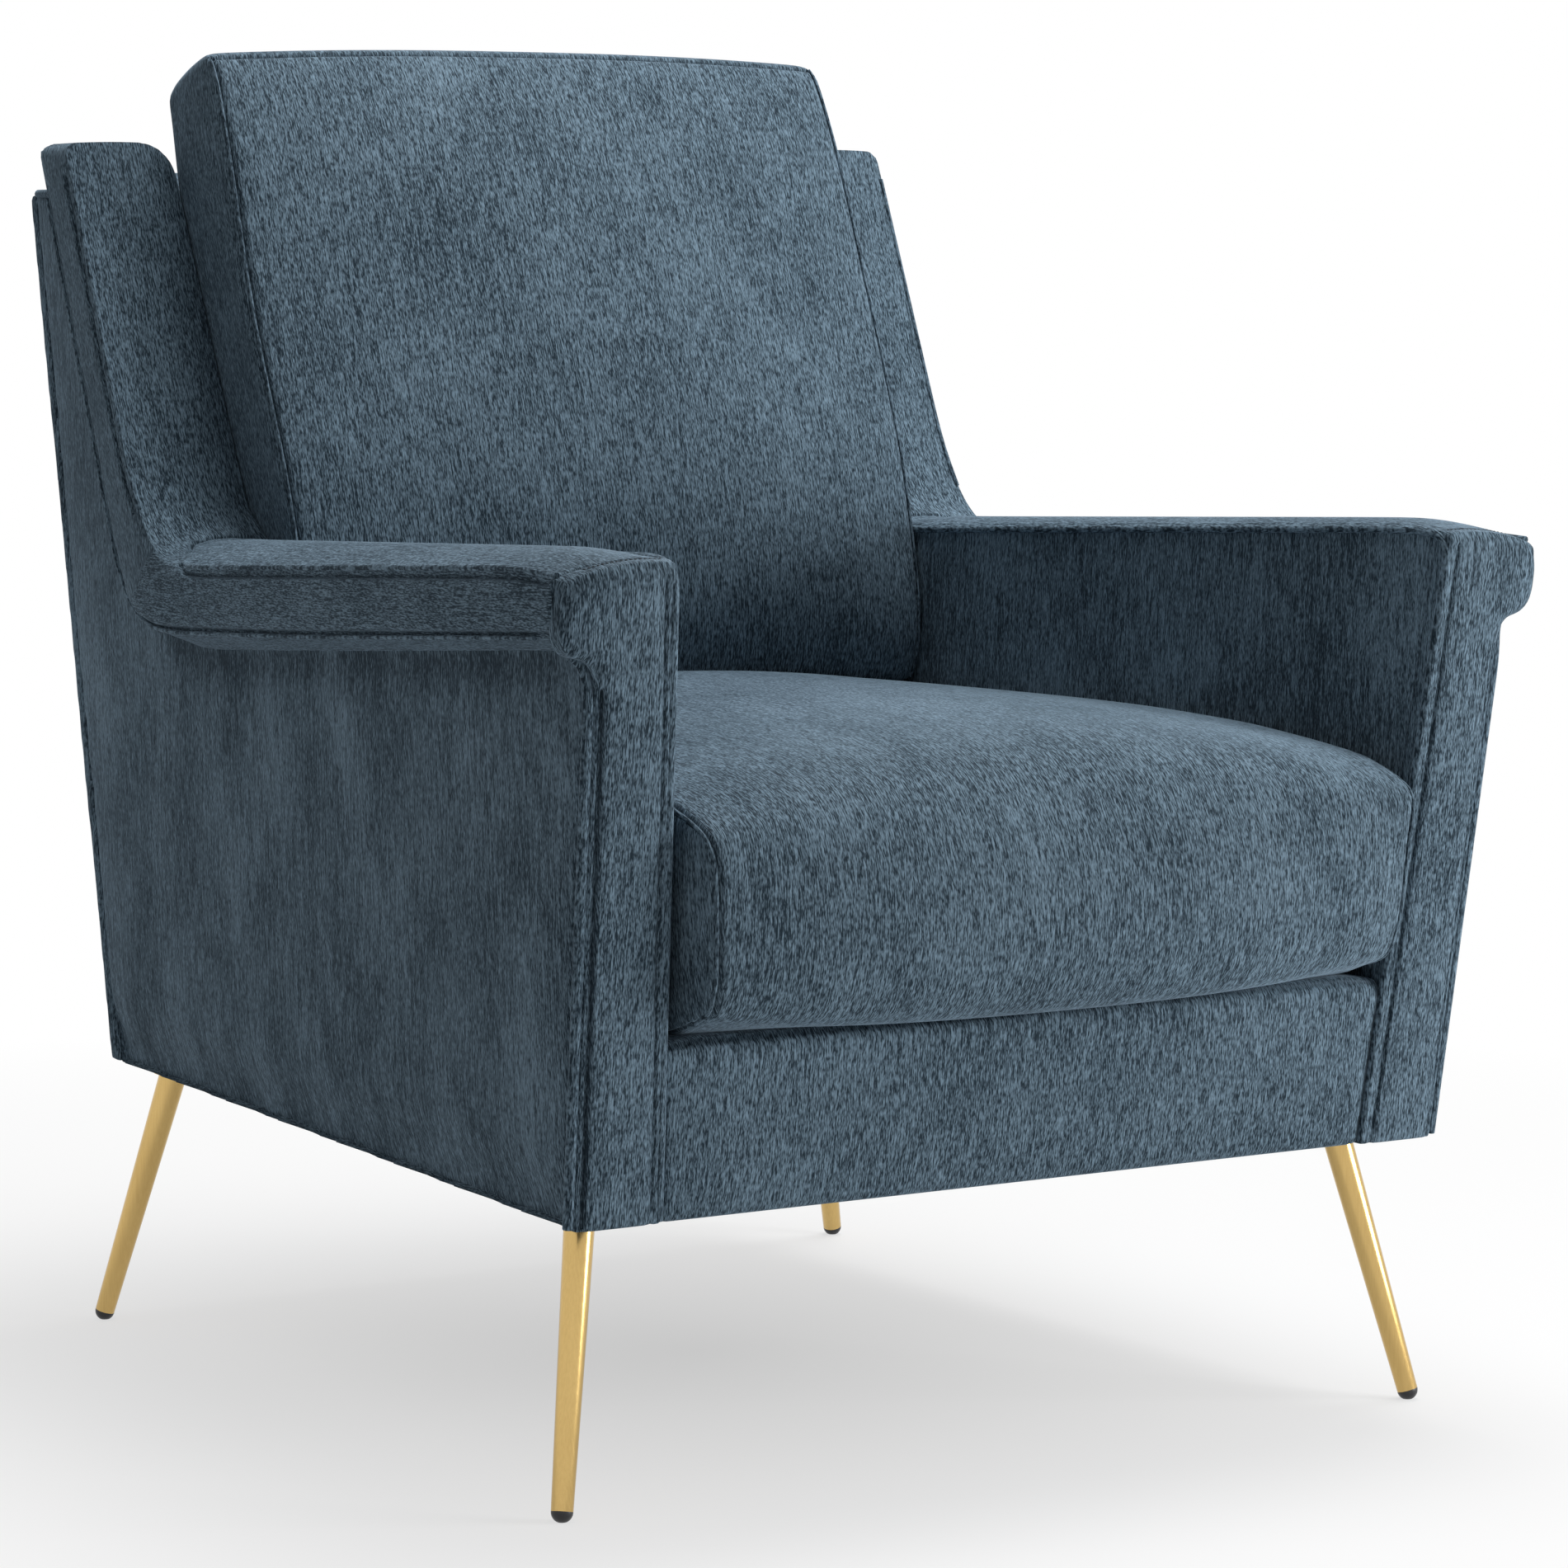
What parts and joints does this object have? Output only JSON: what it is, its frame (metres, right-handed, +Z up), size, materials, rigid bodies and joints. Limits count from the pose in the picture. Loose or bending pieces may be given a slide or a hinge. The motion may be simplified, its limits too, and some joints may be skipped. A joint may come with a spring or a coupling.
{
  "type": "upholstered armchair",
  "caption": "Upholstered lounge armchair with padded arms and wings, loose seat and back cushions, and splayed tapered metal legs.",
  "frame": {"origin": "on the floor under the middle of the chair's overall box", "axes": "+X across the chair, to the right of someone who faces its front; +Y to the rear; +Z up"},
  "size_m": [0.7298, 0.9337, 0.918],
  "materials": {
    "upholstery": "soft velvet pile with a fine vertical rib",
    "cushion_filling": "open foam under fibre wrap",
    "dark_lining": "black woven lining and webbing",
    "zip_tape": "flat nylon zip tape",
    "frame_wood": "sawn, unfinished",
    "spring_steel": "bare steel wire and strip",
    "leg_brass": "satin",
    "foot_plastic": "matt moulded"
  },
  "bodies": {
    "chair": {"arm_pad_left": "upholstery", "arm_pad_right": "upholstery", "arm_rail_left": "frame_wood", "arm_rail_right": "frame_wood", "back_lower_rail": "frame_wood", "back_post_left": "frame_wood", "back_post_right": "frame_wood", "back_top_pad": "upholstery", "back_top_rail": "frame_wood", "back_webbing": "dark_lining", "corner_blocks": "frame_wood", "dust_cover": "dark_lining", "facing_left": "upholstery", "facing_right": "upholstery", "foot_cap_front_left": "foot_plastic", "foot_cap_front_right": "foot_plastic", "foot_cap_rear_left": "foot_plastic", "foot_cap_rear_right": "foot_plastic", "front_post_left": "frame_wood", "front_post_right": "frame_wood", "front_rail": "frame_wood", "front_rail_cover": "upholstery", "inner_arm_left": "upholstery", "inner_arm_right": "upholstery", "inside_back": "upholstery", "leg_front_left": "leg_brass", "leg_front_right": "leg_brass", "leg_rear_left": "leg_brass", "leg_rear_right": "leg_brass", "leg_screws": "spring_steel", "outer_arm_left": "upholstery", "outer_arm_right": "upholstery", "outside_back": "upholstery", "rear_rail": "frame_wood", "seat_deck": "upholstery", "seat_springs": "spring_steel", "side_rail_left": "frame_wood", "side_rail_right": "frame_wood", "spring_clips": "spring_steel", "spring_rail": "frame_wood", "spring_ties": "spring_steel", "wing_board_left": "frame_wood", "wing_board_right": "frame_wood", "wing_pad_left": "upholstery", "wing_pad_right": "upholstery"},
    "seat_cushion": {"seat_cushion": "upholstery", "seat_cushion_core": "cushion_filling", "seat_cushion_zip": "zip_tape"},
    "back_cushion": {"back_cushion": "upholstery", "back_cushion_core": "cushion_filling", "back_cushion_zip": "zip_tape"}
  },
  "joints": [
    {"name": "seat_cushion_slide", "type": "slide", "parent": "chair", "child": "seat_cushion", "axis": [0, -1, 0], "range_m": [0, 0.67]},
    {"name": "back_cushion_lift", "type": "slide", "parent": "chair", "child": "back_cushion", "axis": [0, 0.309, 0.9511], "range_m": [0, 0.45]}
  ]
}
